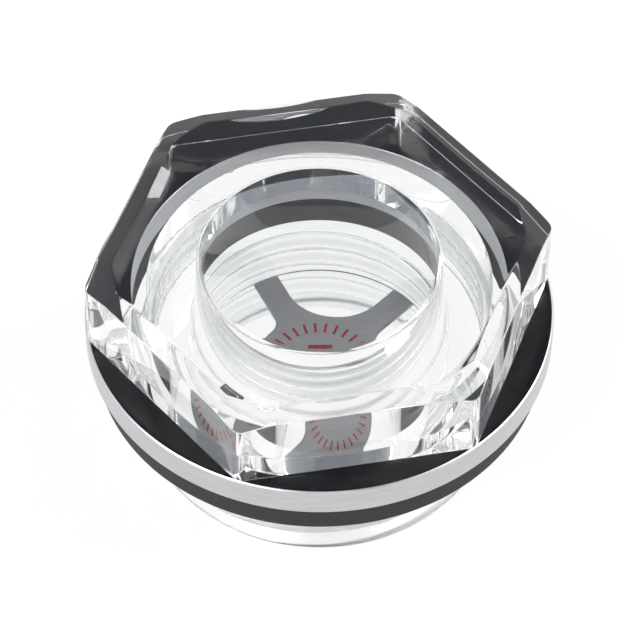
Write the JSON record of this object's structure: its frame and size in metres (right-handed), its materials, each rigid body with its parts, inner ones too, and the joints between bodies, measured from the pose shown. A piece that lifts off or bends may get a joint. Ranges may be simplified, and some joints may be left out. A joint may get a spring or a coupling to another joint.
{
  "type": "oil level sight glass",
  "caption": "Screw-in oil level sight glass: a clear hexagon-head plug with a flange and hollow threaded shank, a black flat gasket and a grey cross-shaped contrast screen.",
  "frame": {"origin": "centre of the shank's end face, on which the part stands", "axes": "+Z along the plug's axis, out of the tank and towards the window; two corners of the hexagon lie on X"},
  "size_m": [0.0344, 0.0344, 0.0187],
  "materials": {
    "clear_plastic": "polished",
    "black_rubber": "matte",
    "grey_sheet": "satin"
  },
  "bodies": {
    "root": {"sight_body": "clear_plastic", "sealing_ring": "black_rubber", "contrast_screen": "grey_sheet"}
  },
  "joints": []
}
